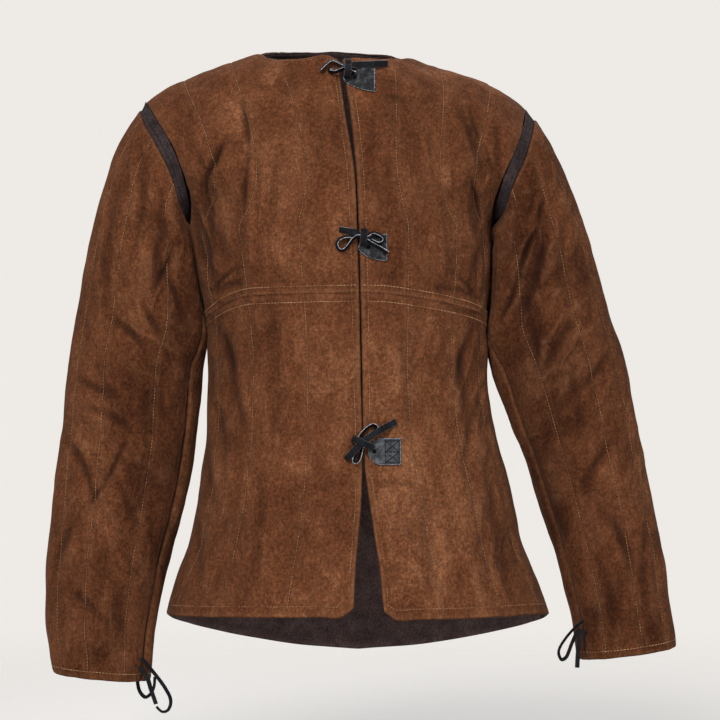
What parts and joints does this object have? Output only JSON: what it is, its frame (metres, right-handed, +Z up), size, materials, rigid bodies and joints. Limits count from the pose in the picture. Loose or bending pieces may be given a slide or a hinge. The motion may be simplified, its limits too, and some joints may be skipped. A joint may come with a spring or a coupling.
{
  "type": "gambeson",
  "caption": "Quilted suede gambeson with a flared skirt, a longer back, sleeves let in on canvas strips, and leather thong ties down the front and at the cuffs.",
  "frame": {"origin": "middle of the neck opening, level with where the neck meets the shoulders, where the wearer's shoulders carry the garment", "axes": "+Z up towards the neck, -Y out of the garment's front, +X towards the wearer's left sleeve"},
  "size_m": [0.7775, 0.3389, 0.8256],
  "materials": {
    "brown_suede": "mottled reddish brown suede, matt, with a worn nap",
    "dark_canvas": "dark grey-purple canvas, matt",
    "black_leather": "black leather, low sheen, raw light grey edges"
  },
  "bodies": {
    "root": {"front_right_bodice": "brown_suede", "front_right_skirt": "brown_suede", "front_left_bodice": "brown_suede", "front_left_skirt": "brown_suede", "back_bodice": "brown_suede", "back_skirt": "brown_suede", "back_lining": "dark_canvas", "sleeve_top_right": "brown_suede", "sleeve_under_right": "brown_suede", "sleeve_top_left": "brown_suede", "sleeve_under_left": "brown_suede", "armhole_strip_right": "dark_canvas", "armhole_strip_left": "dark_canvas", "tie_breast_tab": "black_leather", "tie_breast_thong_right": "black_leather", "tie_breast_thong_left": "black_leather", "tie_breast_wrap": "black_leather", "tie_waist_tab": "black_leather", "tie_waist_thong_right": "black_leather", "tie_waist_thong_left": "black_leather", "tie_waist_wrap": "black_leather", "tie_skirt_tab": "black_leather", "tie_skirt_thong_right": "black_leather", "tie_skirt_thong_left": "black_leather", "tie_skirt_wrap": "black_leather", "cuff_tie_right_loop": "black_leather", "cuff_tie_right_long": "black_leather", "cuff_tie_right_end": "black_leather", "cuff_tie_left_loop": "black_leather", "cuff_tie_left_end": "black_leather"}
  },
  "joints": []
}
